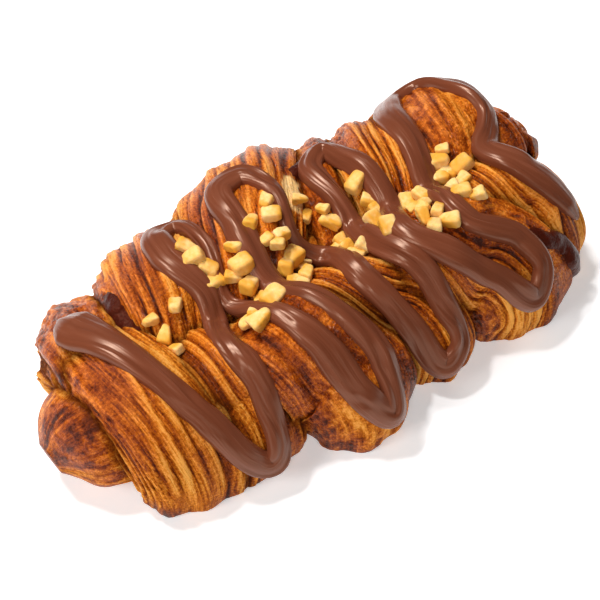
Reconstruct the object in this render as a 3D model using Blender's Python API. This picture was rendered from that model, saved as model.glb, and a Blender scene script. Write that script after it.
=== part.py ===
"""Pastry twist: a plaited bar of layered dough under a zigzag of nougat cream and chopped nuts.

The bar lies along X. +Z is up, +Y is the far long side, and the origin is in the middle of the
underside. It is plaited from three strands: every time a strand comes over the top it makes one lobe,
up the outside of the bar from the floor, over the shoulder, and down into the middle, where the next
strand covers it. A rope of dark filling runs through the dough and shows where the dough is open.
Sizes in the tables are in millimetres, and the meshes are in metres.
"""

import math
import random
from collections import namedtuple

import bmesh
import bpy
import numpy as np
from mathutils import Vector
from mathutils.bvhtree import BVHTree

MM = 0.001
NEAR, FAR = -1, 1
# Middle of the finished bar's outline in the tables' own x and y; the origin goes there.
BAR_MIDDLE = (-4.9, 5.2, 0.0)

# ---- dough -------------------------------------------------------------------------------------------
# side, foot: where the strand leaves the floor; dive: where it goes under again (x, and y from the
# centre line); reach: the foot's distance from the centre line; top: height of the strand's middle.
Lobe = namedtuple("Lobe", "side foot dive dive_y reach width thickness top")
LOBES = (
    Lobe(FAR, 73, 66, 0, 17, 29, 25, 20),
    Lobe(NEAR, 63, 49, 0, 22, 32, 24, 25),
    Lobe(FAR, 61, 46, 0, 32, 41, 27, 27),
    Lobe(NEAR, 51, 34, -4, 27, 26, 26, 21),
    Lobe(FAR, 42, 24, 0, 31, 30, 28, 27),
    Lobe(NEAR, 45, 12, -7, 30, 36, 28, 26),
    Lobe(FAR, 26, 6, 0, 36, 26, 24, 24),
    Lobe(NEAR, 13, -14, -4, 29, 28, 24, 24),
    Lobe(FAR, 2, -26, 0, 41, 42, 28, 28),
    Lobe(NEAR, -15, -34, -9, 32, 38, 28, 25),
    Lobe(FAR, -36, -52, 0, 34.5, 36, 27, 27),
    Lobe(NEAR, -45, -52, -4, 25, 30, 24, 24),
    Lobe(FAR, -66, -74, 0, 28, 30, 24, 24),
    Lobe(NEAR, -63, -72, 15, 23, 36, 25, 26),
)
CENTRE_LINE = 3.0
LOBE_STATIONS = 12
OUTSIDE_POINTS = 15
INSIDE_POINTS = 3
# The tucked end of the plait at the left: x, y and height of its middle, width, thickness.
KNOB = (
    (-58, 0, 14, 30, 26),
    (-71, 0, 15, 34, 29),
    (-82, 1, 15, 34, 29),
    (-91, 2, 14, 25, 22),
    (-96, 2, 13, 10, 9),
)
KNOB_STATIONS = 8
KNOB_SIDES = 16
# What lies under the lobes is one mass of dough.
CORE_MIDDLE = (0.0, CENTRE_LINE, 12.0)
CORE_HALF = (80.0, 36.0, 17.0)
# Layers show as ridges that run along each strand, and the strand itself is a little lumpy.
RIDGES = 9
RIDGE_TWIST = 2.2
RIDGE_HEIGHT = 0.55
LUMP_HEIGHT = 0.9

# ---- nougat cream: one thick thread, poured from the left end to the right one ----------------------
# x, y and width. Each row of the table is one run across the bar, with the turn at its end.
DRIZZLE = (
    (-76, 25, 13), (-73.5, 15, 13), (-70, 3, 10), (-66, -10, 8), (-61, -22, 8), (-53, -33, 8), (-47, -35, 8),
    (-44, -27, 8), (-45, -10, 8), (-40, 6, 7.5), (-42, 22, 10), (-38, 32, 8), (-33, 32, 6),
    (-30, 20, 5), (-35, 4, 5), (-30, -9, 6.5), (-25, -26, 9), (-19, -41, 9), (-14, -44, 8),
    (-11, -36, 8), (-16, -19, 8), (-23, 2, 8), (-21, 17, 8.5), (-16, 32, 9), (-9, 33, 8),
    (-5, 22, 5), (-8, 9, 5), (-1, 0, 7.5), (-1, -15, 8), (5, -31, 8), (11, -39, 8), (15, -38, 7),
    (15, -28, 8), (10, -9, 8), (11, 12, 7.5), (13, 28, 7.5), (19, 31, 7.5),
    (22, 20, 8), (22, 4, 7.5), (16, -12, 7.5), (22, -24, 8), (33, -33, 8), (43, -39, 8), (48, -36, 7),
    (46, -28, 8), (34, -19, 8), (34, -6, 8), (40, 14, 9), (46, 32, 10), (54, 39, 8), (63, 38, 7),
    (67, 28, 8), (68, 13, 8), (58, 0, 9), (61, -10, 9.5), (68, -21, 9), (71, -27, 5),
)
DRIZZLE_STEP = 6.6
DRIZZLE_SIDES = 6
DRIZZLE_RISE = 2.9
DRIZZLE_SINK = 1.6

# ---- chopped nuts, in drifts along the middle between the runs of cream ------------------------------
# middle x and y, half length along x and along y, number of pieces
Drift = namedtuple("Drift", "x y half_x half_y pieces")
DRIFTS = (
    Drift(-53, 4, 5, 10, 4),
    Drift(-37, 12, 3, 10, 5),
    Drift(-28, 0, 4, 9, 5),
    Drift(-32, -9, 6, 5, 3),
    Drift(-24, 13, 3, 4, 1),
    Drift(-13, 12, 5, 8, 6),
    Drift(-12, 1, 6, 7, 6),
    Drift(2, 12, 5, 6, 4),
    Drift(5, 0, 4, 8, 5),
    Drift(17, 7, 3, 6, 3),
    Drift(13, -7, 3, 5, 2),
    Drift(27, 0, 4, 7, 4),
    Drift(24, -14, 6, 7, 5),
    Drift(43, 2, 6, 7, 7),
    Drift(40, -10, 4, 5, 2),
)
NUT_SIZES = (4.2, 7.2)
NUT_SPACING = 0.6
NUT_PILE = 0.7
NUT_SEAT = 0.6
NUT_CREAM_GAP = -0.7
NUT_SEED = 7

# ---- filling -----------------------------------------------------------------------------------------
# x, y and height of the rope's middle. It shows along the crease at the right end, then dives under the
# dough and comes up twice more, in a crease of the far side and in the last crease at the left.
FILLING = (
    (62.5, -33.5, 10), (61.5, -33, 15.7), (59.5, -30.3, 19.8), (54, -28.5, 25), (49.5, -25, 27),
    (44, -17, 23), (39, -5, 17), (32, 10, 18), (23, 23, 26), (14, 29, 32.5), (6, 28, 34), (-2, 21, 27),
    (-10, 12, 18), (-22, 3, 12), (-36, -1, 13), (-48, -2, 18), (-57, 2, 26), (-61, 9, 30.8),
    (-60.5, 17, 31.3), (-58.5, 24, 31), (-57, 28.5, 26), (-56.5, 30, 18),
)
FILLING_RADIUS = 3.6
FILLING_STEP = 6.0
FILLING_SIDES = 6
CHANNEL_GAP = 0.5

# ---- materials: linear colour, roughness -------------------------------------------------------------
DOUGH = ("baked dough", (0.56, 0.25, 0.07), 0.45)
CREAM = ("nougat cream", (0.16, 0.06, 0.03), 0.30)
NUT = ("chopped nut", (0.80, 0.52, 0.20), 0.50)
DARK_FILLING = ("dark filling", (0.030, 0.012, 0.008), 0.25)

BIG = 200.0


# ---- shapes ------------------------------------------------------------------------------------------
def curve_through(points, count):
    """A smooth curve through the points, whatever their spacing, read at count even places."""
    points = np.array(points, float)
    gaps = np.linalg.norm(np.diff(points[:, :3], axis=0), axis=1)
    knots = np.concatenate([[0], np.cumsum(gaps)])
    slopes = np.diff(points, axis=0) / gaps[:, None]
    inner = (slopes[:-1] * gaps[1:, None] + slopes[1:] * gaps[:-1, None]) / (gaps[:-1] + gaps[1:])[:, None]
    tangents = np.vstack([slopes[:1], inner, slopes[-1:]])
    places = np.linspace(0, knots[-1], count)
    i = np.clip(np.searchsorted(knots, places, side="right") - 1, 0, len(gaps) - 1)
    h = gaps[i][:, None]
    t = ((places - knots[i]) / gaps[i])[:, None]
    return ((2 * t ** 3 - 3 * t ** 2 + 1) * points[i] + (t ** 3 - 2 * t ** 2 + t) * h * tangents[i]
            + (3 * t ** 2 - 2 * t ** 3) * points[i + 1] + (t ** 3 - t ** 2) * h * tangents[i + 1])


def ring_directions(middles, across):
    """Side and up directions of the rings along a line; across is roughly the side direction."""
    tangent = np.gradient(middles, axis=0)
    tangent /= np.linalg.norm(tangent, axis=1)[:, None]
    side = across - tangent * np.sum(tangent * across, axis=1)[:, None]
    side /= np.linalg.norm(side, axis=1)[:, None]
    return side, np.cross(side, tangent)


def ring_tube(middles, side, up, wide, high):
    """Vertices and faces of a closed tube; wide and high give each ring's points along side and up."""
    verts = (middles[:, None] + side[:, None] * wide[..., None] + up[:, None] * high[..., None])
    rings, sides = wide.shape
    faces = [tuple(range(sides)), tuple((rings - 1) * sides + j for j in reversed(range(sides)))]
    for i in range(rings - 1):
        for j in range(sides):
            k = (j + 1) % sides
            faces.append((i * sides + j, (i + 1) * sides + j, (i + 1) * sides + k, i * sides + k))
    return verts.reshape(-1, 3), faces


def add_solid(name, verts, faces, made_of, home):
    """A mesh object from vertices in the tables' millimetres, its faces pointing out."""
    mesh = bpy.data.meshes.new(name)
    mesh.from_pydata([tuple(v) for v in (np.asarray(verts) - BAR_MIDDLE) * MM], [], faces)
    shape = bmesh.new()
    shape.from_mesh(mesh)
    bmesh.ops.triangulate(shape, faces=shape.faces[:])
    bmesh.ops.recalc_face_normals(shape, faces=shape.faces[:])
    shape.to_mesh(mesh)
    shape.free()
    mesh.materials.append(made_of)
    obj = bpy.data.objects.new(name, mesh)
    home.objects.link(obj)
    return obj


def material(name, colour, roughness):
    made = bpy.data.materials.new(name)
    made.use_nodes = True
    shader = made.node_tree.nodes["Principled BSDF"]
    shader.inputs["Base Color"].default_value = (*colour, 1)
    shader.inputs["Roughness"].default_value = roughness
    made.diffuse_color = (*colour, 1)
    return made


# ---- dough -------------------------------------------------------------------------------------------
def lobe_line(lobe):
    """Middle, width and thickness of a lobe, from the floor outside to its tail inside the bar."""
    outside = CENTRE_LINE + lobe.side * lobe.reach
    run = lobe.dive - lobe.foot
    inside = CENTRE_LINE + lobe.dive_y
    top_y = CENTRE_LINE + 0.6 * lobe.dive_y + 0.42 * lobe.side * lobe.reach
    stations = (
        (lobe.foot, outside - 2 * lobe.side, -4, 0.86 * lobe.width, lobe.thickness),
        (lobe.foot, outside, 11, lobe.width, lobe.thickness),
        (lobe.foot + 0.3 * run, outside - 8 * lobe.side, lobe.top - 4, lobe.width, lobe.thickness),
        (lobe.foot + 0.7 * run, top_y, lobe.top, 0.92 * lobe.width, lobe.thickness),
        (lobe.dive, inside + 0.08 * lobe.side * lobe.reach, lobe.top - 5,
         0.74 * lobe.width, 0.9 * lobe.thickness),
        (lobe.dive + 0.12 * run, inside - 10 * lobe.side, lobe.top - 14,
         0.6 * lobe.width, 0.7 * lobe.thickness),
    )
    return curve_through(stations, LOBE_STATIONS)


def add_lobe(number, lobe, made_of, home):
    line = lobe_line(lobe)
    side, up = ring_directions(line[:, :3], np.array([[-lobe.side, 0.0, 0.0]]))
    outer = np.linspace(-0.1, math.pi + 0.1, OUTSIDE_POINTS)
    inner = np.linspace(math.pi + 0.1, 2 * math.pi - 0.1, INSIDE_POINTS + 2)[1:-1]
    around = np.concatenate([outer, inner])[None, :]
    along = np.linspace(0, 1, len(line))[:, None]
    relief = (RIDGE_HEIGHT * np.sin(RIDGES * around + RIDGE_TWIST * along + 1.7 * number)
              + LUMP_HEIGHT * np.sin(3 * around + 5 * along + 2.3 * number))
    wide = np.cos(around) * (line[:, 3:4] / 2 + relief)
    high = np.sin(around) * (line[:, 4:5] / 2 + relief)
    return add_solid(f"lobe_{number + 1}", *ring_tube(line[:, :3], side, up, wide, high), made_of, home)


def add_knob(made_of, home):
    line = curve_through(KNOB, KNOB_STATIONS)
    side, up = ring_directions(line[:, :3], np.array([[0.0, 1.0, 0.0]]))
    around = np.linspace(0, 2 * math.pi, KNOB_SIDES, endpoint=False)[None, :]
    wide = np.cos(around) * line[:, 3:4] / 2
    high = np.sin(around) * line[:, 4:5] / 2
    return add_solid("knob", *ring_tube(line[:, :3], side, up, wide, high), made_of, home)


def add_core(made_of, home):
    shape = bmesh.new()
    bmesh.ops.create_uvsphere(shape, u_segments=20, v_segments=10, radius=1)
    verts = [np.array(v.co) * CORE_HALF + CORE_MIDDLE for v in shape.verts]
    faces = [tuple(v.index for v in f.verts) for f in shape.faces]
    shape.free()
    return add_solid("core", verts, faces, made_of, home)


class Surface:
    """The top of everything laid so far, found by looking straight down."""

    def __init__(self, objects):
        verts, faces = [], []
        for obj in objects:
            first = len(verts)
            verts += [v.co / MM + Vector(BAR_MIDDLE) for v in obj.data.vertices]
            faces += [tuple(first + i for i in p.vertices) for p in obj.data.polygons]
        self.tree = BVHTree.FromPolygons(verts, faces)

    def height(self, x, y):
        point = self.tree.ray_cast(Vector((x, y, BIG)), Vector((0, 0, -1)))[0]
        return point.z if point else 0.0


# ---- cream and nuts ----------------------------------------------------------------------------------
def drizzle_line(surface):
    """The thread's stations: middle on the dough, side direction on the slope, and width."""
    rough = curve_through([(x, y, 0, w) for x, y, w in DRIZZLE], 400)
    length = np.linalg.norm(np.diff(rough[:, :3], axis=0), axis=1).sum()
    flat = curve_through([(x, y, 0, w) for x, y, w in DRIZZLE], int(length / DRIZZLE_STEP))
    across = np.cross(np.gradient(flat[:, :3], axis=0), (0, 0, 1))
    across /= np.linalg.norm(across, axis=1)[:, None]
    reach = 0.4 * flat[:, 3:4] * across
    right, left, middle = flat[:, :3] + reach, flat[:, :3] - reach, flat[:, :3].copy()
    for points in (right, left, middle):
        points[:, 2] = [surface.height(x, y) for x, y, _ in points]
    middle[:, 2] = np.maximum(middle[:, 2], (right[:, 2] + left[:, 2]) / 2)
    for points in (right, left, middle):
        points[1:-1, 2] = (points[:-2, 2] + 2 * points[1:-1, 2] + points[2:, 2]) / 4
    return middle, right - left, flat[:, 3]


def add_drizzle(surface, made_of, home):
    middle, across, width = drizzle_line(surface)
    side, up = ring_directions(middle, across)
    around = np.linspace(0, 2 * math.pi, DRIZZLE_SIDES, endpoint=False)[None, :]
    ends = np.ones(len(middle))
    ends[[0, -1]] = 0.45
    wide = np.cos(around) * (ends * width / 2)[:, None]
    high = np.where(np.sin(around) > 0, DRIZZLE_RISE, DRIZZLE_SINK) * np.sin(around) * ends[:, None]
    return add_solid("drizzle", *ring_tube(middle, side, up, wide, high), made_of, home)


def nut_places():
    """Seeded: where each nut lies, its size, the largest of a drift first, and its lift on others."""
    draw = random.Random(NUT_SEED)
    cream = curve_through([(x, y, 0, w) for x, y, w in DRIZZLE], 400)
    places = []
    for drift in DRIFTS:
        sizes = sorted((draw.uniform(*NUT_SIZES) for _ in range(drift.pieces)), reverse=True)
        for size in sizes:
            for _ in range(400):
                angle, share = draw.uniform(0, 2 * math.pi), math.sqrt(draw.random())
                x = drift.x + drift.half_x * share * math.cos(angle)
                y = drift.y + drift.half_y * share * math.sin(angle)
                to_cream = np.hypot(cream[:, 0] - x, cream[:, 1] - y) - cream[:, 3] / 2
                apart = min((2 * math.hypot(x - a, y - b) / (size + s) for a, b, s, _ in places), default=1)
                if apart > NUT_SPACING and to_cream.min() > NUT_CREAM_GAP:
                    places.append((x, y, size, NUT_PILE * size * max(0, 0.9 - apart)))
                    break
    return places


def chopped_piece(draw, size):
    """Corners of one chopped piece: an uneven box that narrows to one end, turned and tipped."""
    half = size / 2 * np.array([1.15, draw.uniform(0.8, 1.0), draw.uniform(0.65, 0.9)])
    turn, tip, taper = draw.uniform(0, 2 * math.pi), draw.uniform(-0.5, 0.5), draw.uniform(0.45, 1.0)
    corners = []
    for signs in ((i, j, k) for i in (-1, 1) for j in (-1, 1) for k in (-1, 1)):
        x, y, z = (s * h * draw.uniform(0.8, 1.0) for s, h in zip(signs, half))
        if signs[0] > 0:
            y, z = taper * y, taper * z
        x, z = x * math.cos(tip) - z * math.sin(tip), x * math.sin(tip) + z * math.cos(tip)
        corners.append((x * math.cos(turn) - y * math.sin(turn), x * math.sin(turn) + y * math.cos(turn), z))
    return corners, half[2]


def add_nuts(surface, made_of, home):
    """Each nut is the hull of its corners, sunk a little into the dough."""
    draw = random.Random(NUT_SEED + 1)
    for number, (x, y, size, lift) in enumerate(nut_places()):
        corners, half_height = chopped_piece(draw, size)
        shape = bmesh.new()
        for corner in corners:
            shape.verts.new(corner)
        bmesh.ops.convex_hull(shape, input=shape.verts[:])
        bmesh.ops.delete(shape, geom=[v for v in shape.verts if not v.link_faces], context="VERTS")
        shape.verts.index_update()
        middle = np.array([x, y, surface.height(x, y) + NUT_SEAT * half_height + lift])
        verts = [np.array(v.co) + middle for v in shape.verts]
        faces = [tuple(v.index for v in f.verts) for f in shape.faces]
        shape.free()
        add_solid(f"nut_{number + 1}", verts, faces, made_of, home)


# ---- filling -----------------------------------------------------------------------------------------
def add_filling(name, extra, made_of, home):
    """The filling's rope, or with some extra thickness the channel that it lies in."""
    rough = curve_through(FILLING, 200)
    length = np.linalg.norm(np.diff(rough, axis=0), axis=1).sum()
    line = curve_through(FILLING, int(length / FILLING_STEP))
    side, up = ring_directions(line, np.array([[0.0, 1.0, 0.0]]))
    for end, before in ((0, 1), (-1, -2)):
        outward = line[end] - line[before]
        line[end] += extra * outward / np.linalg.norm(outward)
    around = np.linspace(0, 2 * math.pi, FILLING_SIDES, endpoint=False)[None, :]
    along = np.arange(len(line))[:, None]
    radius = FILLING_RADIUS * (1 + 0.12 * np.sin(1.3 * along)) + extra
    return add_solid(name, *ring_tube(line, side, up, np.cos(around) * radius, np.sin(around) * radius),
                     made_of, home)


# ---- fusing ------------------------------------------------------------------------------------------
def apply_boolean(obj, operation, **what):
    cut = obj.modifiers.new(operation.lower(), "BOOLEAN")
    cut.operation = operation
    cut.solver = "EXACT"
    cut.material_mode = "TRANSFER"
    for name, value in what.items():
        setattr(cut, name, value)
    bpy.context.view_layer.update()
    made = bpy.data.meshes.new_from_object(obj.evaluated_get(bpy.context.evaluated_depsgraph_get()))
    obj.modifiers.clear()
    obj.data = made


def keep_outer_shell(obj):
    """Drops loose scraps and fills sealed hollows: only the largest shell stays."""
    shape = bmesh.new()
    shape.from_mesh(obj.data)
    left, shells = set(shape.verts), []
    while left:
        reached, edge = set(), [left.pop()]
        while edge:
            vert = edge.pop()
            reached.add(vert)
            near = {e.other_vert(vert) for e in vert.link_edges} & left
            left -= near
            edge.extend(near)
        shells.append(reached)
    largest = max(shells, key=len)
    bmesh.ops.delete(shape, geom=[v for s in shells if s is not largest for v in s], context="VERTS")
    bmesh.ops.triangulate(shape, faces=shape.faces[:])
    shape.to_mesh(obj.data)
    shape.free()


def main():
    for obj in list(bpy.data.objects):
        bpy.data.objects.remove(obj)
    scene = bpy.context.scene.collection
    pieces = bpy.data.collections.new("pieces")
    scene.children.link(pieces)
    dough = material(*DOUGH)
    dark = material(*DARK_FILLING)

    plait = [add_lobe(number, lobe, dough, pieces) for number, lobe in enumerate(LOBES)]
    plait += [add_knob(dough, pieces), add_core(dough, pieces)]
    surface = Surface(plait)
    add_drizzle(surface, material(*CREAM), pieces)
    add_nuts(surface, material(*NUT), pieces)

    twist = plait[-1]
    pieces.objects.unlink(twist)
    scene.objects.link(twist)
    twist.name = twist.data.name = "pastry_twist"
    apply_boolean(twist, "UNION", operand_type="COLLECTION", collection=pieces)
    for obj in list(pieces.objects):
        bpy.data.objects.remove(obj)

    channel = add_filling("channel", CHANNEL_GAP, dark, scene)
    apply_boolean(twist, "DIFFERENCE", object=channel)
    bpy.data.objects.remove(channel)
    box = [(x, y, z) for z in (-BIG, 0) for y in (-BIG, BIG) for x in (-BIG, BIG)]
    box_faces = [(0, 1, 3, 2), (4, 6, 7, 5), (0, 4, 5, 1), (2, 3, 7, 6), (0, 2, 6, 4), (1, 5, 7, 3)]
    floor = add_solid("floor", box, box_faces, dough, scene)
    apply_boolean(twist, "DIFFERENCE", object=floor)
    bpy.data.objects.remove(floor)
    keep_outer_shell(twist)

    add_filling("dark_filling", 0, dark, scene)
    bpy.data.collections.remove(pieces)


main()
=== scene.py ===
"""Pastry twist, dressed: glazed flaky dough, nougat cream, chopped nuts and dark filling.

The tables are in millimetres, in the plait's own x and y, and BAR_MIDDLE takes them to the frame.
"""

import math
import random
from collections import namedtuple

import bmesh
import bpy
import numpy as np
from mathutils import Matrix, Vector
from mathutils.bvhtree import BVHTree


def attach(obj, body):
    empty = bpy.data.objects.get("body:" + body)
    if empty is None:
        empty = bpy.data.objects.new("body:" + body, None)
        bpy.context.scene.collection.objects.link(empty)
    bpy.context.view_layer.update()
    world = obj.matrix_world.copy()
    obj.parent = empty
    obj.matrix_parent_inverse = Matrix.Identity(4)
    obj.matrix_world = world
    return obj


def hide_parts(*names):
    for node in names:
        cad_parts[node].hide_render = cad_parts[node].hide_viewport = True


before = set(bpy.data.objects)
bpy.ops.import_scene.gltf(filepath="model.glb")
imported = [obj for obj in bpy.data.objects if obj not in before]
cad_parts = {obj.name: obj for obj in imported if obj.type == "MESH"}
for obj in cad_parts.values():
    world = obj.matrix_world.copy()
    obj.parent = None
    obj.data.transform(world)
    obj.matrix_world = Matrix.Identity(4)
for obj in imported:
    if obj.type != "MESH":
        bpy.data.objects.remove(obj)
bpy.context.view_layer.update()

MM = 0.001
NEAR, FAR = -1, 1
BAR_MIDDLE = np.array((-4.9, 5.2, 0.0))

# ---- the plait, as the solids have it ------------------------------------------------------------------
# side, foot: where the strand leaves the floor; dive: where it goes under again (x, and y from the
# centre line); reach: the foot's distance from the centre line; top: height of the strand's middle.
Lobe = namedtuple("Lobe", "side foot dive dive_y reach width thickness top")
LOBES = (
    Lobe(FAR, 73, 66, 0, 17, 29, 25, 20),
    Lobe(NEAR, 63, 49, 0, 22, 32, 24, 25),
    Lobe(FAR, 61, 46, 0, 32, 41, 27, 27),
    Lobe(NEAR, 51, 34, -4, 27, 26, 26, 21),
    Lobe(FAR, 42, 24, 0, 31, 30, 28, 27),
    Lobe(NEAR, 45, 12, -7, 30, 36, 28, 26),
    Lobe(FAR, 26, 6, 0, 36, 26, 24, 24),
    Lobe(NEAR, 13, -14, -4, 29, 28, 24, 24),
    Lobe(FAR, 2, -26, 0, 41, 42, 28, 28),
    Lobe(NEAR, -15, -34, -9, 32, 38, 28, 25),
    Lobe(FAR, -36, -52, 0, 34.5, 36, 27, 27),
    Lobe(NEAR, -45, -52, -4, 25, 30, 24, 24),
    Lobe(FAR, -66, -74, 0, 28, 30, 24, 24),
    Lobe(NEAR, -63, -72, 15, 23, 36, 25, 26),
)
CENTRE_LINE = 3.0
# The tucked end of the plait at the left: x, y and height of its middle, width, thickness.
KNOB = (
    (-58, 0, 14, 30, 26),
    (-71, 0, 15, 34, 29),
    (-82, 1, 15, 34, 29),
    (-91, 2, 14, 25, 22),
    (-96, 2, 13, 10, 9),
)
CORE_MIDDLE = np.array((0.0, CENTRE_LINE, 12.0))
CORE_HALF = np.array((80.0, 36.0, 17.0))
RIDGES = 9
RIDGE_TWIST = 2.2
RIDGE_HEIGHT = 0.55
LUMP_HEIGHT = 0.9
LOBE_RINGS = 110
OUTSIDE_POINTS = 150
INSIDE_POINTS = 12
KNOB_RINGS = 110
KNOB_SIDES = 220
CORE_RINGS = 90
CORE_SIDES = 120
STRAND_RADIUS = 15.0
# Each strand's flat foot is this much higher than the last one's, so no two share a plane.
FOOT_STEP = 0.02
# Every third point of a strand is enough to rest other pieces on.
SURFACE_STRIDE = 3
# Higher than any piece, for rays cast down.
ABOVE_ALL = 200.0

# ---- laminated dough: real layers are 1 to 3 mm apart where they end at the surface ---------------------
LAYER_SPACING = 3.4
LAYER_HEIGHT = 1.2
# A layer's edge rises over this share of its spacing, and drifts sideways this much for each mm along.
LAYER_RISE = 0.22
LAYER_DRIFT = 0.12
SHEET_SPACING = 1.3
SHEET_HEIGHT = 0.35
BLISTER_SIZE = (2.6, 2.6)
BLISTER_HEIGHT = 0.7
WRINKLE_SIZE = (3.4, 2.2)
WRINKLE_HEIGHT = 0.3
DIMPLE_SIZE = (6, 5)
DIMPLE_HEIGHT = 0.3
CRUST_PATCH = (21, 13)
# Painted shade in the creases falls off over about this many millimetres from the next strand.
CREASE_SHADE_REACH = 1.3
# Fine relief is pressed flatter where a strand stands on its foot, and on the knob's tip.
FOOT_FADE = (4, 16)
FOOT_RELIEF = 0.25
TIP_FADE = (20, 8)
TIP_FLATTENING = 0.8
CORE_RELIEF = 0.4
# How much of each lobe a whole crust covers, from -1 (layers show) to 1; then the knob's and the core's.
CRUST_COVER = (0.2, 0.2, 1.0, 0.2, 0.35, 0.5, 0.0, 0.1, -0.1, 0.5, 0.1, -0.1, 0.3, -0.35)
KNOB_COVER = 0.35
CORE_COVER = 0.2

# ---- nougat cream: x, y and width; each row is one run across the bar, with the turn at its end --------
DRIZZLE = (
    (-76, 25, 13), (-73.5, 15, 13), (-70, 3, 10), (-66, -10, 8), (-61, -22, 8), (-53, -33, 8), (-47, -35, 8),
    (-44, -27, 8), (-45, -10, 8), (-40, 6, 7.5), (-42, 22, 10), (-38, 32, 8), (-33, 32, 6),
    (-30, 20, 5), (-35, 4, 5), (-30, -9, 6.5), (-25, -26, 9), (-19, -41, 9), (-14, -44, 8),
    (-11, -36, 8), (-16, -19, 8), (-23, 2, 8), (-21, 17, 8.5), (-16, 32, 9), (-9, 33, 8),
    (-5, 22, 5), (-8, 9, 5), (-1, 0, 7.5), (-1, -15, 8), (5, -31, 8), (11, -39, 8), (15, -38, 7),
    (15, -28, 8), (10, -9, 8), (11, 12, 7.5), (13, 28, 7.5), (19, 31, 7.5),
    (22, 20, 8), (22, 4, 7.5), (16, -12, 7.5), (22, -24, 8), (33, -33, 8), (43, -39, 8), (48, -36, 7),
    (46, -28, 8), (34, -19, 8), (34, -6, 8), (40, 14, 9), (46, 32, 10), (54, 39, 8), (63, 38, 7),
    (67, 28, 8), (68, 13, 8), (58, 0, 9), (61, -10, 9.5), (68, -21, 9), (71, -27, 5),
)
DRIZZLE_STEP = 0.6
DRIZZLE_SIDES = 32
DRIZZLE_RISE = 2.9
DRIZZLE_SINK = 1.6
DRIZZLE_SETTLE = 3.2
# The ends round off over this length, and the thread's section is a little squarer than an oval.
DRIZZLE_TAPER = 6
DRIZZLE_SQUARENESS = 0.7
DRIZZLE_SAMPLES = 400

# ---- chopped nuts: middle x and y, half length along x and along y, number of pieces --------------------
Drift = namedtuple("Drift", "x y half_x half_y pieces")
DRIFTS = (
    Drift(-53, 4, 5, 10, 4),
    Drift(-37, 12, 3, 10, 5),
    Drift(-28, 0, 4, 9, 5),
    Drift(-32, -9, 6, 5, 3),
    Drift(-24, 13, 3, 4, 1),
    Drift(-13, 12, 5, 8, 6),
    Drift(-12, 1, 6, 7, 6),
    Drift(2, 12, 5, 6, 4),
    Drift(5, 0, 4, 8, 5),
    Drift(17, 7, 3, 6, 3),
    Drift(13, -7, 3, 5, 2),
    Drift(27, 0, 4, 7, 4),
    Drift(24, -14, 6, 7, 5),
    Drift(43, 2, 6, 7, 7),
    Drift(40, -10, 4, 5, 2),
)
NUT_SIZES = (4.2, 7.2)
NUT_SPACING = 0.6
NUT_PILE = 0.7
NUT_SEAT = 0.6
NUT_CREAM_GAP = -0.7
NUT_TRIES = 400
NUT_SEED = 7
# A higher rounding gives sharper edges; fullness makes up for what the rounding takes off.
NUT_ROUNDING = 5
NUT_FULLNESS = 1.07
NUT_GRAIN = 0.06

# ---- filling: x, y and height of the rope's middle -----------------------------------------------------
FILLING = (
    (62.5, -33.5, 10), (61.5, -33, 15.7), (59.5, -30.3, 19.8), (54, -28.5, 25), (49.5, -25, 27),
    (44, -17, 23), (39, -5, 17), (32, 10, 18), (23, 23, 26), (14, 29, 32.5), (6, 28, 34), (-2, 21, 27),
    (-10, 12, 18), (-22, 3, 12), (-36, -1, 13), (-48, -2, 18), (-57, 2, 26), (-61, 9, 30.8),
    (-60.5, 17, 31.3), (-58.5, 24, 31), (-57, 28.5, 26), (-56.5, 30, 18),
)
FILLING_RADIUS = 3.6
FILLING_RINGS = 360
FILLING_SIDES = 40
# A long thin patch of pale crumb where the crust tore open: x, y, direction in degrees, half sizes.
TORN_PATCH = (1.5, 21.5, 62.0, 7.0, 2.5)

# ---- camera --------------------------------------------------------------------------------------------
AIM = (0.0049, -0.0052, 0.020)
AIM_PIXEL = (334, 279)
PICTURE = 600
AZIMUTH = -38.0
ELEVATION = 50.0
DISTANCE = 0.483
LENS = 100.0
SENSOR = 36.0

# ---- lights: name, place and size in metres, watts -------------------------------------------------------
SOFTBOXES = (
    ("key", (0.0, 0.40, 0.75), 0.24, 5.2),
    ("left", (-0.62, -0.05, 0.50), 0.30, 2.2),
    ("front", (-0.20, -0.70, 0.45), 0.60, 0.8),
    ("sparkle", (-0.20, 0.20, 0.80), 0.08, 2.6),
    ("glint", (-0.40, -0.40, 0.62), 0.06, 0.6),
)
ROOM_LIGHT = 0.08


# ---- lines and surfaces --------------------------------------------------------------------------------
def curve_through(points, count):
    """A smooth curve through the points, whatever their spacing, read at count even places."""
    points = np.array(points, float)
    gaps = np.linalg.norm(np.diff(points[:, :3], axis=0), axis=1)
    knots = np.concatenate([[0], np.cumsum(gaps)])
    slopes = np.diff(points, axis=0) / gaps[:, None]
    inner = (slopes[:-1] * gaps[1:, None] + slopes[1:] * gaps[:-1, None]) / (gaps[:-1] + gaps[1:])[:, None]
    tangents = np.vstack([slopes[:1], inner, slopes[-1:]])
    places = np.linspace(0, knots[-1], count)
    i = np.clip(np.searchsorted(knots, places, side="right") - 1, 0, len(gaps) - 1)
    h = gaps[i][:, None]
    t = ((places - knots[i]) / gaps[i])[:, None]
    return ((2 * t ** 3 - 3 * t ** 2 + 1) * points[i] + (t ** 3 - 2 * t ** 2 + t) * h * tangents[i]
            + (3 * t ** 2 - 2 * t ** 3) * points[i + 1] + (t ** 3 - t ** 2) * h * tangents[i + 1])


def ring_directions(middles, across):
    """Side and up directions of the rings along a line; across is roughly the side direction."""
    tangent = np.gradient(middles, axis=0)
    tangent /= np.linalg.norm(tangent, axis=1)[:, None]
    side = across - tangent * np.sum(tangent * across, axis=1)[:, None]
    side /= np.linalg.norm(side, axis=1)[:, None]
    return side, np.cross(side, tangent)


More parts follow.
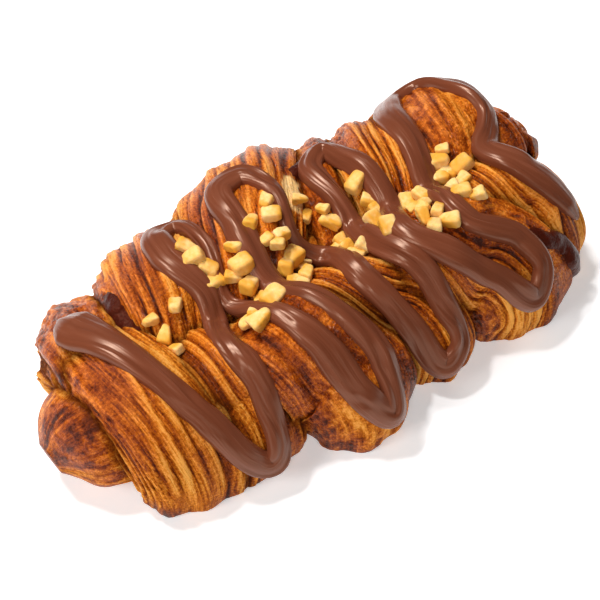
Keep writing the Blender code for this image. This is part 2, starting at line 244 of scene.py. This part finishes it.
def length_along(middles):
    """Distance of each point from the first, along the line."""
    steps = np.linalg.norm(np.diff(middles, axis=0), axis=1)
    return np.concatenate([[0], np.cumsum(steps)])


def noise(x, y, seed):
    """Smooth seeded noise from -1 to 1, with one feature for each unit of x and y."""
    cells = 97
    lattice = np.random.default_rng(seed).uniform(-1, 1, (cells, cells))
    x, y = np.broadcast_arrays(np.asarray(x, float), np.asarray(y, float))
    i, j = np.floor(x).astype(int), np.floor(y).astype(int)
    s, t = x - i, y - j
    s, t = s * s * (3 - 2 * s), t * t * (3 - 2 * t)
    low = lattice[i % cells, j % cells] * (1 - s) + lattice[(i + 1) % cells, j % cells] * s
    high = lattice[i % cells, (j + 1) % cells] * (1 - s) + lattice[(i + 1) % cells, (j + 1) % cells] * s
    return low * (1 - t) + high * t


def patches(along, across, size, seed):
    """Noise on a strand, with features of size[0] x size[1] millimetres."""
    return noise(along / size[0], across / size[1], seed)


def smooth_step(low, high, value):
    """0 below low and 1 above high, with a soft rise between them."""
    t = np.clip((value - low) / (high - low), 0, 1)
    return t * t * (3 - 2 * t)


def blurred(values, reach):
    """A row of values, each averaged with its neighbours by a soft weight of about reach places."""
    places = np.arange(-3 * reach, 3 * reach + 1)
    weights = np.exp(-0.5 * (places / reach) ** 2)
    padded = np.pad(values, (3 * reach, 3 * reach), mode="edge")
    return np.convolve(padded, weights / weights.sum(), mode="valid")


class Surface:
    """The outside of some grids of points, closed round their second axis."""

    def __init__(self, grids):
        verts, faces = [], []
        for grid in grids:
            grid = grid[::SURFACE_STRIDE, ::SURFACE_STRIDE]
            rings, sides, _ = grid.shape
            first = len(verts)
            verts += [Vector(v) for v in grid.reshape(-1, 3)]
            for i in range(rings - 1):
                for j in range(sides):
                    a, b = first + i * sides + j, first + i * sides + (j + 1) % sides
                    faces.append((a, b, b + sides, a + sides))
        self.tree = BVHTree.FromPolygons(verts, faces)

    def height(self, x, y):
        """Height of the highest point above a place on the floor."""
        point = self.tree.ray_cast(Vector((x, y, ABOVE_ALL)), Vector((0, 0, -1)))[0]
        return point.z if point else 0.0

    def distance(self, point, reach):
        """Distance to the nearest point, or reach where nothing is that near."""
        found = self.tree.find_nearest(Vector(point), reach)[3]
        return reach if found is None else found


# ---- pieces --------------------------------------------------------------------------------------------
def add_piece(name, verts, faces, made_of, node, slot, **values):
    """A smooth mesh piece that stands for a node; values hold one number or vector for each vertex."""
    mesh = bpy.data.meshes.new(name)
    mesh.from_pydata(((np.asarray(verts) - BAR_MIDDLE) * MM).tolist(), [], faces)
    mesh.materials.append(made_of)
    mesh.shade_smooth()
    for key, value in values.items():
        kind, field = ("FLOAT", "value") if np.ndim(value) == 1 else ("FLOAT_VECTOR", "vector")
        mesh.attributes.new(key, kind, "POINT").data.foreach_set(field, np.asarray(value, float).ravel())
    piece = bpy.data.objects.new(name, mesh)
    bpy.context.scene.collection.objects.link(piece)
    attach(piece, "root")
    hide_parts(node)
    return piece


def tube_faces(rings, sides):
    """Faces of a closed tube whose points are rings of the same number of sides."""
    faces = [tuple(range(sides)), tuple((rings - 1) * sides + j for j in reversed(range(sides)))]
    for i in range(rings - 1):
        for j in range(sides):
            k = (j + 1) % sides
            faces.append((i * sides + j, (i + 1) * sides + j, (i + 1) * sides + k, i * sides + k))
    return faces


# ---- dough ---------------------------------------------------------------------------------------------
def layers(along, across, spacing, seed):
    """Overlapping layers that run along a strand: height from 0 to 1, and a tone for each layer."""
    wander = 2.2 * noise(along / 30, across / 9, seed) + 0.5 * noise(along / 8, across / 4, seed + 1)
    place = (across + wander + LAYER_DRIFT * along) / spacing
    layer = np.floor(place)
    within = place - layer
    edge = smooth_step(0, LAYER_RISE, within)
    back = 1 - ((within - LAYER_RISE) / (1 - LAYER_RISE)) ** 2
    height = np.where(within < LAYER_RISE, edge, back)
    strength = np.clip(0.6 + 0.7 * noise(3.7 * layer, along / 11, seed + 2), 0.1, 1)
    tone = noise(5.3 * layer + 0.5, along / 18, seed + 3)
    return height * strength + 0.5 * (1 - strength), tone


def dough_relief(along, across, cover, seed):
    """Relief in millimetres; for each point its height in its layer, its layer's tone, and its skin.

    Skin is 1 where a whole crust covers the layers, and 0 where they show.
    """
    thick, tone = layers(along, across, LAYER_SPACING, seed)
    thin, thin_tone = layers(along, across, SHEET_SPACING, seed + 10)
    skin = smooth_step(0.0, 0.45, cover + patches(along, across, CRUST_PATCH, seed + 20))
    blister = np.maximum(0, patches(along, across, BLISTER_SIZE, seed + 21))
    shown = 1 - 0.75 * skin
    wrinkle = 1 - 2 * np.abs(patches(along, across, WRINKLE_SIZE, seed + 23))
    relief = (shown * (LAYER_HEIGHT * (thick - 0.5) + SHEET_HEIGHT * (thin - 0.5))
              + skin * (BLISTER_HEIGHT * blister + WRINKLE_HEIGHT * wrinkle)
              + DIMPLE_HEIGHT * patches(along, across, DIMPLE_SIZE, seed + 22))
    # this also sets the crust colour: high points come out lighter and hollows darker, partly painted
    # highlight and painted shade
    layer = 0.5 + shown * (0.65 * thick + 0.35 * thin - 0.5) + 0.2 * skin * wrinkle
    return relief, layer, shown * (0.65 * tone + 0.35 * thin_tone), skin


def lobe_line(lobe):
    """Middle, width and thickness of a lobe, from the floor outside to its tail inside the bar."""
    outside = CENTRE_LINE + lobe.side * lobe.reach
    run = lobe.dive - lobe.foot
    inside = CENTRE_LINE + lobe.dive_y
    top_y = CENTRE_LINE + 0.6 * lobe.dive_y + 0.42 * lobe.side * lobe.reach
    # x, y and height of the middle, width, thickness
    stations = (
        (lobe.foot, outside - 2 * lobe.side, -4, 0.86 * lobe.width, lobe.thickness),
        (lobe.foot, outside, 11, lobe.width, lobe.thickness),
        (lobe.foot + 0.3 * run, outside - 8 * lobe.side, lobe.top - 4, lobe.width, lobe.thickness),
        (lobe.foot + 0.7 * run, top_y, lobe.top, 0.92 * lobe.width, lobe.thickness),
        (lobe.dive, inside + 0.08 * lobe.side * lobe.reach, lobe.top - 5,
         0.74 * lobe.width, 0.9 * lobe.thickness),
        (lobe.dive + 0.12 * run, inside - 10 * lobe.side, lobe.top - 14,
         0.6 * lobe.width, 0.7 * lobe.thickness),
    )
    return curve_through(stations, LOBE_RINGS)


def strand_grid(line, side, up, around, relief):
    """Grid of points of a strand with its relief."""
    wide = np.cos(around) * (line[:, 3:4] / 2 + relief)
    high = np.sin(around) * (line[:, 4:5] / 2 + relief)
    return line[:, None, :3] + side[:, None] * wide[..., None] + up[:, None] * high[..., None]


def lobe_shape(number, lobe):
    """Points of one lobe with their flow, layer, tone and skin."""
    line = lobe_line(lobe)
    side, up = ring_directions(line[:, :3], np.array([[-lobe.side, 0.0, 0.0]]))
    outer = np.linspace(-0.1, math.pi + 0.1, OUTSIDE_POINTS)
    inner = np.linspace(math.pi + 0.1, 2 * math.pi - 0.1, INSIDE_POINTS + 2)[1:-1]
    around = np.concatenate([outer, inner])[None, :]
    share = np.linspace(0, 1, len(line))[:, None]
    along = length_along(line[:, :3])[:, None] + 0 * around
    across = STRAND_RADIUS * around + 0 * along
    fine, *marks = dough_relief(along, across, CRUST_COVER[number], 100 * number)
    fine *= FOOT_RELIEF + (1 - FOOT_RELIEF) * smooth_step(*FOOT_FADE, along)
    relief = (RIDGE_HEIGHT * np.sin(RIDGES * around + RIDGE_TWIST * share + 1.7 * number)
              + LUMP_HEIGHT * np.sin(3 * around + 5 * share + 2.3 * number) + fine)
    grid = strand_grid(line, side, up, around, relief)
    return f"lobe_{number + 1}", grid, along, across, *marks


def knob_shape():
    """Points of the tucked left end with their flow, layer, tone and skin."""
    line = curve_through(KNOB, KNOB_RINGS)
    side, up = ring_directions(line[:, :3], np.array([[0.0, 1.0, 0.0]]))
    around = np.linspace(0, 2 * math.pi, KNOB_SIDES, endpoint=False)[None, :]
    along = length_along(line[:, :3])[:, None] + 0 * around
    across = STRAND_RADIUS * around + 0 * along
    # the tip is smooth crust, because layers would all meet there
    tip = smooth_step(along[-1] - TIP_FADE[0], along[-1] - TIP_FADE[1], along)
    fine, *marks = dough_relief(along, across, KNOB_COVER + tip, 2100)
    fine *= 1 - TIP_FLATTENING * tip
    return "knob", strand_grid(line, side, up, around, fine), along, across, *marks


def core_shape():
    """The dough under the lobes; it shows only in gaps and on the underside."""
    tilt = np.linspace(0.02, math.pi - 0.02, CORE_RINGS)[:, None]
    around = np.linspace(0, 2 * math.pi, CORE_SIDES, endpoint=False)[None, :]
    ball = np.stack([np.cos(tilt) + 0 * around, np.sin(tilt) * np.cos(around),
                     np.sin(tilt) * np.sin(around)], axis=-1)
    along = CORE_HALF[0] * tilt + 0 * around
    across = STRAND_RADIUS * around + 0 * along
    fine, *marks = dough_relief(along, across, CORE_COVER, 2200)
    grid = CORE_MIDDLE + ball * (CORE_HALF + CORE_RELIEF * fine[..., None])
    return "core", grid, along, across, *marks


def crease_values(grid, others):
    """How near each point is to another strand, from 0 to 1, worked out at every second point; the crust is
    darkened there as painted shade in the creases.
    """
    near = np.array([[others.distance(p, 3 * CREASE_SHADE_REACH) for p in row] for row in grid[::2, ::2]])
    rings, sides = grid.shape[:2]
    rows = np.arange(0, rings, 2)
    columns = np.arange(0, sides, 2)
    wide = np.array([np.interp(np.arange(sides), columns, row) for row in near])
    full = np.array([np.interp(np.arange(rings), rows, column) for column in wide.T]).T
    return np.exp(-(full / CREASE_SHADE_REACH) ** 1.5)


def torn_values(points):
    """1 inside the torn patch of pale crumb, falling to 0 at its edge."""
    x, y, degrees, half_long, half_wide = TORN_PATCH
    turn = math.radians(degrees)
    long = (points[..., 0] - x) * math.cos(turn) + (points[..., 1] - y) * math.sin(turn)
    wide = (points[..., 1] - y) * math.cos(turn) - (points[..., 0] - x) * math.sin(turn)
    edge = 0.25 * noise(points[..., 0] / 1.7, points[..., 1] / 1.7, 31)
    return smooth_step(1.15, 0.8, np.hypot(long / half_long, wide / half_wide) + edge)


def add_dough(made_of):
    """One piece for each strand, the knob and the core; returns the surface that toppings rest on."""
    shapes = [lobe_shape(number, lobe) for number, lobe in enumerate(LOBES)]
    shapes += [knob_shape(), core_shape()]
    grids = [shape[1] for shape in shapes]
    for number, (name, grid, along, across, layer, tone, skin) in enumerate(shapes):
        others = Surface([g for g in grids if g is not grid])
        # this marks where painted shade darkens the crust, near other strands
        crease = crease_values(grid, others)
        points = grid.reshape(-1, 3).copy()
        points[:, 2] = np.maximum(points[:, 2], FOOT_STEP * number)
        flow = np.stack([along, across, 0 * along + 41.0 * number], axis=-1)
        add_piece(name, points, tube_faces(*grid.shape[:2]), made_of, "pastry_twist", "dough",
                  flow=flow.reshape(-1, 3), layer=layer.ravel(), tone=tone.ravel(),
                  skin=skin.ravel(), crease=crease.ravel(), torn=torn_values(points))
    return Surface(grids)


# ---- nougat cream --------------------------------------------------------------------------------------
def drizzle_line(surface):
    """The thread's stations: middle on the dough, side direction on the slope, and width."""
    rough = curve_through([(x, y, 0, w) for x, y, w in DRIZZLE], DRIZZLE_SAMPLES)
    count = int(length_along(rough[:, :3])[-1] / DRIZZLE_STEP)
    flat = curve_through([(x, y, 0, w) for x, y, w in DRIZZLE], count)
    across = np.cross(np.gradient(flat[:, :3], axis=0), (0, 0, 1))
    across /= np.linalg.norm(across, axis=1)[:, None]
    reach = 0.4 * flat[:, 3:4] * across
    right, left, middle = flat[:, :3] + reach, flat[:, :3] - reach, flat[:, :3].copy()
    for points in (right, left, middle):
        points[:, 2] = [surface.height(x, y) for x, y, _ in points]
    middle[:, 2] = np.maximum(middle[:, 2], (right[:, 2] + left[:, 2]) / 2)
    for points in (right, left, middle):
        points[:, 2] = blurred(points[:, 2], int(DRIZZLE_SETTLE / DRIZZLE_STEP))
    return middle, right - left, flat[:, 3]


def add_drizzle(surface, made_of):
    """One thread, with strings and grooves along its top, laid where the dough is."""
    middle, across, width = drizzle_line(surface)
    side, up = ring_directions(middle, across)
    along = length_along(middle)[:, None]
    around = np.linspace(0, 2 * math.pi, DRIZZLE_SIDES, endpoint=False)[None, :]
    from_end = np.minimum(along, along[-1] - along)
    ends = np.sqrt(np.clip(from_end / DRIZZLE_TAPER, 0.02, 1))
    swell = 1 + 0.1 * noise(along / 14, 0.5, 61) + 0.05 * noise(along / 5, 0.5, 65)
    lateral = 2.2 * np.cos(around)
    groove = 1 - smooth_step(0, 0.3, np.abs(noise(along / 30, 0.8 * lateral + 0.3, 66)))
    strings = (0.5 * noise(along / 34, 0.8 * lateral, 62) + 0.3 * noise(along / 20, 1.9 * lateral, 63)
               + 0.16 * noise(along / 6, lateral, 64) - 0.55 * groove)
    top = np.sin(around) > 0
    square = np.sign(np.sin(around)) * np.abs(np.sin(around)) ** DRIZZLE_SQUARENESS
    wide = np.cos(around) * ends * swell * (width[:, None] / 2)
    high = np.where(top, DRIZZLE_RISE, DRIZZLE_SINK) * square * ends + np.where(top, strings * square, 0)
    grid = middle[:, None] + side[:, None] * wide[..., None] + up[:, None] * high[..., None]
    flow = np.stack([along + 0 * around, lateral * 2 + 0 * along, 0 * along + 0 * around], axis=-1)
    add_piece("nougat_cream", grid.reshape(-1, 3), tube_faces(*grid.shape[:2]), made_of,
              "pastry_twist", "dough", flow=flow.reshape(-1, 3))


# ---- nuts ----------------------------------------------------------------------------------------------
def nut_places():
    """Seeded: where each nut lies, its size, the largest of a drift first, and its lift on others."""
    draw = random.Random(NUT_SEED)
    cream = curve_through([(x, y, 0, w) for x, y, w in DRIZZLE], DRIZZLE_SAMPLES)
    places = []
    for drift in DRIFTS:
        sizes = sorted((draw.uniform(*NUT_SIZES) for _ in range(drift.pieces)), reverse=True)
        for size in sizes:
            for _ in range(NUT_TRIES):
                angle, share = draw.uniform(0, 2 * math.pi), math.sqrt(draw.random())
                x = drift.x + drift.half_x * share * math.cos(angle)
                y = drift.y + drift.half_y * share * math.sin(angle)
                to_cream = np.hypot(cream[:, 0] - x, cream[:, 1] - y) - cream[:, 3] / 2
                apart = min((2 * math.hypot(x - a, y - b) / (size + s) for a, b, s, _ in places), default=1)
                if apart > NUT_SPACING and to_cream.min() > NUT_CREAM_GAP:
                    places.append((x, y, size, NUT_PILE * size * max(0, 0.9 - apart)))
                    break
    return places


def chopped_piece(draw, size):
    """Corners of one chopped piece: an uneven box that narrows to one end, turned and tipped."""
    half = size / 2 * np.array([1.15, draw.uniform(0.8, 1.0), draw.uniform(0.65, 0.9)])
    turn, tip, taper = draw.uniform(0, 2 * math.pi), draw.uniform(-0.5, 0.5), draw.uniform(0.45, 1.0)
    corners = []
    for signs in ((i, j, k) for i in (-1, 1) for j in (-1, 1) for k in (-1, 1)):
        x, y, z = (s * h * draw.uniform(0.8, 1.0) for s, h in zip(signs, half))
        if signs[0] > 0:
            y, z = taper * y, taper * z
        x, z = x * math.cos(tip) - z * math.sin(tip), x * math.sin(tip) + z * math.cos(tip)
        corners.append((x * math.cos(turn) - y * math.sin(turn), x * math.sin(turn) + y * math.cos(turn), z))
    return corners, half[2]


def hull_planes(corners):
    """Middle of a hull of points, and the directions and distances of its faces."""
    shape = bmesh.new()
    for corner in corners:
        shape.verts.new(corner)
    bmesh.ops.convex_hull(shape, input=shape.verts[:])
    middle = np.mean([v.co for v in shape.verts if v.link_faces], axis=0)
    normals, distances = [], []
    for face in shape.faces:
        normal = np.array(face.normal)
        distance = float(np.dot(normal, np.array(face.verts[0].co) - middle))
        normals.append(normal * np.sign(distance))
        distances.append(abs(distance))
    shape.free()
    return middle, np.array(normals), np.array(distances)


def add_nuts(surface, made_of):
    """Each nut is cut flat on some faces and rounded at its edges."""
    draw = random.Random(NUT_SEED + 1)
    ball = bmesh.new()
    bmesh.ops.create_icosphere(ball, subdivisions=4, radius=1)
    ways = np.array([v.co for v in ball.verts])
    ways /= np.linalg.norm(ways, axis=1)[:, None]
    ball_faces = np.array([[v.index for v in f.verts] for f in ball.faces])
    ball.free()
    verts, faces, tints, skins = [], [], [], []
    for number, (x, y, size, lift) in enumerate(nut_places()):
        corners, half_height = chopped_piece(draw, size)
        middle, normals, distances = hull_planes(corners)
        facing = np.maximum(ways @ normals.T / distances, 0)
        radius = np.sum(facing ** NUT_ROUNDING, axis=1) ** (-1 / NUT_ROUNDING)
        grain = noise(3 * ways[:, 0] + 2 * ways[:, 2], 3 * ways[:, 1] - ways[:, 2], 500 + number)
        shape = ways * (NUT_FULLNESS * radius * (1 + NUT_GRAIN * grain))[:, None]
        skinned = normals[number % len(normals)]
        skins.append(smooth_step(0.0, 0.8, ways @ skinned + 0.3 * grain))
        tints.append(np.full(len(ways), ((number * 0.618) % 1)))
        faces += (ball_faces + len(verts) * len(ways)).tolist()
        verts.append(shape + middle + (x, y, surface.height(x, y) + NUT_SEAT * half_height + lift))
    verts = np.concatenate(verts)
    add_piece("chopped_nuts", verts, faces, made_of, "pastry_twist", "dough",
              tint=np.concatenate(tints), skin=np.concatenate(skins))


# ---- filling -------------------------------------------------------------------------------------------
def add_filling(made_of):
    """A lumpy rope along the creases."""
    line = curve_through(FILLING, FILLING_RINGS)
    side, up = ring_directions(line, np.array([[0.0, 1.0, 0.0]]))
    along = length_along(line)[:, None]
    around = np.linspace(0, 2 * math.pi, FILLING_SIDES, endpoint=False)[None, :]
    across = FILLING_RADIUS * around
    radius = (FILLING_RADIUS * (1 + 0.12 * np.sin(1.3 * along / 6.0)) + 0.5 * noise(along / 3, across / 3, 71)
              + 0.2 * noise(along / 1.3, across / 1.4, 72))
    grid = (line[:, None] + side[:, None] * (np.cos(around) * radius)[..., None]
            + up[:, None] * (np.sin(around) * radius)[..., None])
    add_piece("filling_rope", grid.reshape(-1, 3), tube_faces(*grid.shape[:2]), made_of,
              "dark_filling", "filling")


# ---- materials -----------------------------------------------------------------------------------------
def colour(code):
    """An sRGB hex colour as linear numbers."""
    parts = [int(code[i:i + 2], 16) / 255 for i in (1, 3, 5)]
    return (*(p / 12.92 if p <= 0.04045 else ((p + 0.055) / 1.055) ** 2.4 for p in parts), 1.0)


def add(tree, kind, inputs=(), stops=(), **settings):
    """A node of a material: its settings, and its inputs as values or as links from other nodes."""
    made = tree.nodes.new("ShaderNode" + kind)
    for name, value in settings.items():
        setattr(made, name, value)
    for name, value in dict(inputs).items():
        if isinstance(value, bpy.types.NodeSocket):
            tree.links.new(value, made.inputs[name])
        else:
            made.inputs[name].default_value = value
    for place, code in stops:
        ramp = made.color_ramp.elements
        stop = ramp[0] if place == 0 else ramp[-1] if place == 1 else ramp.new(place)
        stop.color = colour(code)
    return made


def new_material(name):
    made = bpy.data.materials.new(name)
    made.use_nodes = True
    return made, made.node_tree, made.node_tree.nodes["Principled BSDF"]


def glazed_laminated_dough():
    """Egg-washed laminated dough: golden ribs with brown between them, darker in the hollows between layers
    as painted shade, and a red-brown glaze on top.
    """
    made, tree, shader = new_material("glazed laminated dough")
    flow = add(tree, "Attribute", attribute_name="flow").outputs["Vector"]
    layer, tone, skin, crease, torn = (
        add(tree, "Attribute", attribute_name=name).outputs["Fac"]
        for name in ("layer", "tone", "skin", "crease", "torn"))
    place = add(tree, "NewGeometry").outputs["Position"]

    def pattern(along, across, detail, roughness):
        """Noise from 0 to 1 with features of along x across millimetres, laid along the strand."""
        spread = add(tree, "VectorMath", {0: flow, 1: (1 / along, 1 / across, 1)}, operation="MULTIPLY")
        raw = add(tree, "TexNoise", {"Vector": spread.outputs[0], "Scale": 1.0, "Detail": detail,
                                     "Roughness": roughness})
        return add(tree, "MapRange", {"Value": raw.outputs["Fac"], "From Min": 0.3,
                                      "From Max": 0.7}).outputs[0]

    def total(*terms):
        """The sum of value times weight for each term."""
        result = 0.0
        for value, weight in terms:
            result = add(tree, "Math", {0: value, 1: weight, 2: result}, operation="MULTIPLY_ADD").outputs[0]
        return result

    def blend(share, first, second):
        return add(tree, "MixRGB", {"Fac": share, "Color1": first, "Color2": second}).outputs[0]

    glaze = pattern(22, 12, 2, 0.5)
    lines = pattern(11, 0.9, 3, 0.6)
    threads = pattern(4, 0.4, 2, 0.6)
    # the blistered crust has spots of 2.2 mm, and flakes of 0.8 mm
    spots = add(tree, "TexNoise", {"Vector": place, "Scale": 450.0, "Detail": 4, "Roughness": 0.65})
    spots = add(tree, "MapRange", {"Value": spots.outputs["Fac"], "From Min": 0.3, "From Max": 0.7})
    flakes = add(tree, "TexNoise", {"Vector": place, "Scale": 1250.0, "Detail": 3, "Roughness": 0.7})
    height = add(tree, "SeparateXYZ", {0: place}).outputs["Z"]
    top = add(tree, "MapRange", {"Value": height, "From Min": 0.012, "From Max": 0.032}).outputs[0]
    grain = blend(skin, lines, spots.outputs[0])

    # Painted highlight and painted shade: the layer height lightens the raised layer edges and darkens the
    # hollows between them; the other terms give the dough's own golden and brown tones.
    bake = total((glaze, 0.42), (grain, 0.3), (threads, 0.15), (tone, 0.22), (layer, -0.95),
                 (flakes.outputs["Fac"], 0.75), (skin, 0.1))
    baked = add(tree, "MapRange", {"Value": bake, "From Min": -0.04, "From Max": 0.68}).outputs[0]
    crust = add(tree, "ValToRGB", {"Fac": baked}, stops=(
        (0, "#F8AC50"), (0.22, "#E48C2E"), (0.45, "#BC6214"), (0.7, "#883A08"), (1, "#401404")))
    # Painted shade: the crust turns deep brown near other strands, in place of the shade in the creases.
    creased = blend(total((crease, 0.8)), crust.outputs[0], colour("#481C06"))
    crumb = add(tree, "ValToRGB", {"Fac": flakes.outputs["Fac"]}, stops=(
        (0, "#F0AC5C"), (0.45, "#FFCC84"), (1, "#FFE2B0")))
    tree.links.new(blend(torn, creased, crumb.outputs[0]), shader.inputs["Base Color"])

    gloss = total((glaze, -0.15), (flakes.outputs["Fac"], 0.3), (torn, 0.3), (crease, 0.3), (0.45, 1.0))
    tree.links.new(gloss, shader.inputs["Roughness"])
    # the egg wash was brushed on from above
    washed = total((glaze, 0.8), (top, 0.5), (skin, 0.35), (crease, -1.0), (torn, -1.0))
    wash = add(tree, "MapRange", {"Value": washed, "From Min": 0.45, "From Max": 1.1, "To Max": 0.55})
    tree.links.new(wash.outputs[0], shader.inputs["Coat Weight"])
    relief = total((grain, 0.5), (threads, 0.25), (flakes.outputs["Fac"], 1.0))
    bump = add(tree, "Bump", {"Height": relief, "Strength": 1.0, "Distance": 0.0008})
    tree.links.new(bump.outputs[0], shader.inputs["Normal"])
    # the dried wash levels out the finest flakes
    pooled = total((grain, 0.4), (spots.outputs[0], 0.6))
    ripple = add(tree, "Bump", {"Height": pooled, "Strength": 0.9, "Distance": 0.0008})
    tree.links.new(ripple.outputs[0], shader.inputs["Coat Normal"])
    shader.inputs["Specular IOR Level"].default_value = 0.06
    shader.inputs["Specular Tint"].default_value = colour("#FFB46A")
    shader.inputs["Subsurface Weight"].default_value = 0.08
    shader.inputs["Subsurface Radius"].default_value = (1.0, 0.35, 0.1)
    shader.inputs["Subsurface Scale"].default_value = 0.002
    shader.inputs["Coat Roughness"].default_value = 0.08
    shader.inputs["Coat Tint"].default_value = colour("#FFD8A0")
    shader.inputs["Coat IOR"].default_value = 1.38
    return made


def nougat_cream():
    """Hazelnut nougat cream, poured and set: smooth, satin, with faint strings along the pour."""
    made, tree, shader = new_material("set nougat cream")
    flow = add(tree, "Attribute", attribute_name="flow").outputs["Vector"]
    # strings of 26 x 1.7 mm
    spread = add(tree, "VectorMath", {0: flow, 1: (1 / 26, 1 / 1.7, 1)}, operation="MULTIPLY")
    strings = add(tree, "TexNoise", {"Vector": spread.outputs[0], "Scale": 1.0, "Detail": 2,
                                     "Roughness": 0.5})
    shade = add(tree, "ValToRGB", {"Fac": strings.outputs["Fac"]}, stops=(
        (0, "#5E2E1A"), (0.5, "#703A25"), (1, "#824A34")))
    tree.links.new(shade.outputs[0], shader.inputs["Base Color"])
    gloss = add(tree, "MapRange", {"Value": strings.outputs["Fac"], "To Min": 0.16, "To Max": 0.34})
    tree.links.new(gloss.outputs[0], shader.inputs["Roughness"])
    bump = add(tree, "Bump", {"Height": strings.outputs["Fac"], "Strength": 0.45, "Distance": 0.0008})
    tree.links.new(bump.outputs[0], shader.inputs["Normal"])
    shader.inputs["IOR"].default_value = 1.46
    shader.inputs["Specular IOR Level"].default_value = 0.5
    shader.inputs["Specular Tint"].default_value = colour("#FFD8BC")
    return made


def roasted_nut():
    """Roasted chopped nut: waxy pale cut faces, deeper gold where the kernel's outside is left."""
    made, tree, shader = new_material("roasted chopped nut")
    tint = add(tree, "Attribute", attribute_name="tint").outputs["Fac"]
    skin = add(tree, "Attribute", attribute_name="skin").outputs["Fac"]
    place = add(tree, "NewGeometry").outputs["Position"]
    # grain of the kernel, about 1.5 mm
    grain = add(tree, "TexNoise", {"Vector": place, "Scale": 650.0, "Detail": 4, "Roughness": 0.6})
    mixed = add(tree, "Math", {0: tint, 1: 0.35, 2: grain.outputs["Fac"]}, operation="MULTIPLY_ADD")
    cut = add(tree, "ValToRGB", {"Fac": mixed.outputs[0]}, stops=(
        (0, "#DE9C3E"), (0.5, "#F0B85E"), (1, "#F8D090")))
    outside = add(tree, "MixRGB", {"Fac": skin, "Color1": cut.outputs[0], "Color2": colour("#E2A038")})
    tree.links.new(outside.outputs[0], shader.inputs["Base Color"])
    bump = add(tree, "Bump", {"Height": grain.outputs["Fac"], "Strength": 0.35, "Distance": 0.0004})
    tree.links.new(bump.outputs[0], shader.inputs["Normal"])
    shader.inputs["Roughness"].default_value = 0.45
    shader.inputs["Specular IOR Level"].default_value = 0.15
    shader.inputs["Subsurface Weight"].default_value = 0.2
    shader.inputs["Subsurface Radius"].default_value = (1.0, 0.6, 0.25)
    shader.inputs["Subsurface Scale"].default_value = 0.0015
    return made


def baked_filling():
    """Dark nougat filling baked at the surface: almost black, lumpy and wet-looking."""
    made, tree, shader = new_material("baked dark filling")
    place = add(tree, "NewGeometry").outputs["Position"]
    # lumps of about 1 mm
    lumps = add(tree, "TexNoise", {"Vector": place, "Scale": 1000.0, "Detail": 3, "Roughness": 0.6})
    shade = add(tree, "ValToRGB", {"Fac": lumps.outputs["Fac"]}, stops=((0, "#260A04"), (1, "#541C10")))
    tree.links.new(shade.outputs[0], shader.inputs["Base Color"])
    bump = add(tree, "Bump", {"Height": lumps.outputs["Fac"], "Strength": 0.7, "Distance": 0.0006})
    tree.links.new(bump.outputs[0], shader.inputs["Normal"])
    shader.inputs["Roughness"].default_value = 0.3
    shader.inputs["Specular IOR Level"].default_value = 0.2
    shader.inputs["Specular Tint"].default_value = colour("#D89070")
    return made


def pale_table():
    """Matt white laminate under the pastry."""
    made, tree, shader = new_material("matt white table")
    shader.inputs["Base Color"].default_value = colour("#FAFAFA")
    shader.inputs["Roughness"].default_value = 0.6
    shader.inputs["Specular IOR Level"].default_value = 0.1
    shader.inputs["Emission Color"].default_value = colour("#FFFFFF")
    shader.inputs["Emission Strength"].default_value = 0.36
    return made


# ---- studio --------------------------------------------------------------------------------------------
def add_camera():
    """The photograph's view, with the aim point at its own pixel."""
    turn, tilt = math.radians(AZIMUTH), math.radians(ELEVATION)
    back = Vector((math.sin(turn) * math.cos(tilt), -math.cos(turn) * math.cos(tilt), math.sin(tilt)))
    camera = bpy.data.objects.new("camera", bpy.data.cameras.new("camera"))
    bpy.context.scene.collection.objects.link(camera)
    camera.location = Vector(AIM) + back * DISTANCE
    camera.rotation_mode = "QUATERNION"
    camera.rotation_quaternion = (-back).to_track_quat("-Z", "Y")
    camera.data.lens = LENS
    camera.data.sensor_width = SENSOR
    camera.data.shift_x = (PICTURE / 2 - AIM_PIXEL[0]) / PICTURE
    camera.data.shift_y = (AIM_PIXEL[1] - PICTURE / 2) / PICTURE
    camera.data.clip_start = 0.01
    bpy.context.scene.camera = camera


def add_softbox(name, place, size, watts):
    """A round lamp that faces the pastry."""
    light = bpy.data.lights.new(name, "AREA")
    light.shape = "DISK"
    light.size = size
    light.energy = watts
    box = bpy.data.objects.new(name, light)
    bpy.context.scene.collection.objects.link(box)
    box.location = place
    box.rotation_mode = "QUATERNION"
    box.rotation_quaternion = Vector(place).to_track_quat("Z", "Y")


def add_studio():
    """A white table, a dim room and the lamps."""
    floor = bpy.data.objects.new("table", bpy.data.meshes.new("table"))
    floor.data.from_pydata([(-3, -3, 0), (3, -3, 0), (3, 3, 0), (-3, 3, 0)], [], [(0, 1, 2, 3)])
    floor.data.materials.append(pale_table())
    bpy.context.scene.collection.objects.link(floor)
    world = bpy.data.worlds.new("studio")
    world.use_nodes = True
    world.node_tree.nodes["Background"].inputs["Color"].default_value = (1.0, 0.98, 0.95, 1)
    world.node_tree.nodes["Background"].inputs["Strength"].default_value = ROOM_LIGHT
    bpy.context.scene.world = world
    for name, place, size, watts in SOFTBOXES:
        add_softbox(name, place, size, watts)
    bpy.context.scene.view_settings.view_transform = "Standard"


add_camera()
add_studio()
dough_top = add_dough(glazed_laminated_dough())
add_drizzle(dough_top, nougat_cream())
add_nuts(dough_top, roasted_nut())
add_filling(baked_filling())
